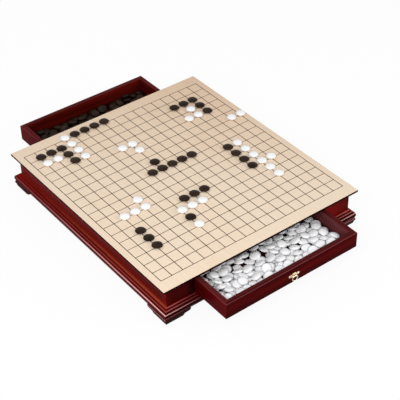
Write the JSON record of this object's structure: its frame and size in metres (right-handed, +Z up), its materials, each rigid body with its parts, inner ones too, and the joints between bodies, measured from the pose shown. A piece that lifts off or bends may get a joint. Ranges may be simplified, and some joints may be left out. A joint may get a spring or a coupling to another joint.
{
  "type": "go board with stone drawers",
  "caption": "Low table-top go board on a moulded cabinet with bracket feet; stone drawers slide out at the front and back, each with a brass ring pull.",
  "frame": {"origin": "on the floor, under the centre of the cabinet and of the playing surface", "axes": "+Z up; -Y towards the front drawer, which holds the white stones, +Y towards the back drawer; +X to the right seen from the front"},
  "size_m": [0.4224, 0.6472, 0.0798],
  "materials": {
    "pale_wood": "satin",
    "stained_edge": "gloss",
    "mahogany": "gloss",
    "plain_wood": "matt",
    "brass": "polished",
    "black_stone": "satin",
    "white_stone": "gloss"
  },
  "bodies": {
    "cabinet": {"playing_surface": "pale_wood", "top_panel": "stained_edge", "centre_divider": "plain_wood", "cabinet_floor": "plain_wood", "floor_battens": "plain_wood", "board_black_stones": "black_stone", "board_white_stones": "white_stone", "left_side_panel": "mahogany", "left_drawer_guide": "plain_wood", "right_side_panel": "mahogany", "right_drawer_guide": "plain_wood", "front_left_stile": "mahogany", "front_right_stile": "mahogany", "front_top_rail": "mahogany", "front_bottom_rail": "mahogany", "front_drawer_runners": "plain_wood", "front_drawer_kickers": "plain_wood", "back_left_stile": "mahogany", "back_right_stile": "mahogany", "back_top_rail": "mahogany", "back_bottom_rail": "mahogany", "back_drawer_runners": "plain_wood", "back_drawer_kickers": "plain_wood", "front_base_moulding": "mahogany", "right_base_moulding": "mahogany", "back_base_moulding": "mahogany", "left_base_moulding": "mahogany", "front_right_foot_end_bracket": "mahogany", "front_right_foot_side_bracket": "mahogany", "back_right_foot_end_bracket": "mahogany", "back_right_foot_side_bracket": "mahogany", "back_left_foot_end_bracket": "mahogany", "back_left_foot_side_bracket": "mahogany", "front_left_foot_end_bracket": "mahogany", "front_left_foot_side_bracket": "mahogany", "foot_glue_blocks": "plain_wood"},
    "front_drawer": {"front_drawer_face": "mahogany", "front_drawer_back_wall": "mahogany", "front_drawer_left_wall": "mahogany", "front_drawer_right_wall": "mahogany", "front_drawer_bottom": "stained_edge", "front_pull_backplate": "brass", "front_pull_eye": "brass", "front_pull_nails": "brass", "front_drawer_white_stones": "white_stone"},
    "front_pull": {"front_pull_ring": "brass"},
    "back_drawer": {"back_drawer_face": "mahogany", "back_drawer_back_wall": "mahogany", "back_drawer_left_wall": "mahogany", "back_drawer_right_wall": "mahogany", "back_drawer_bottom": "stained_edge", "back_pull_backplate": "brass", "back_pull_eye": "brass", "back_pull_nails": "brass", "back_drawer_black_stones": "black_stone"},
    "back_pull": {"back_pull_ring": "brass"}
  },
  "joints": [
    {"name": "front_drawer_slide", "type": "slide", "parent": "cabinet", "child": "front_drawer", "axis": [0, -1, 0], "range_m": [-0.0818, 0.0682]},
    {"name": "back_drawer_slide", "type": "slide", "parent": "cabinet", "child": "back_drawer", "axis": [0, 1, 0], "range_m": [-0.096, 0.054]},
    {"name": "front_pull_swing", "type": "hinge", "parent": "front_drawer", "child": "front_pull", "pos_m": [0, -0.31429, 0.045], "axis": [-1, 0, 0], "range_deg": [-10, 165]},
    {"name": "back_pull_swing", "type": "hinge", "parent": "back_drawer", "child": "back_pull", "pos_m": [0, 0.32849, 0.045], "axis": [1, 0, 0], "range_deg": [-10, 165]}
  ]
}
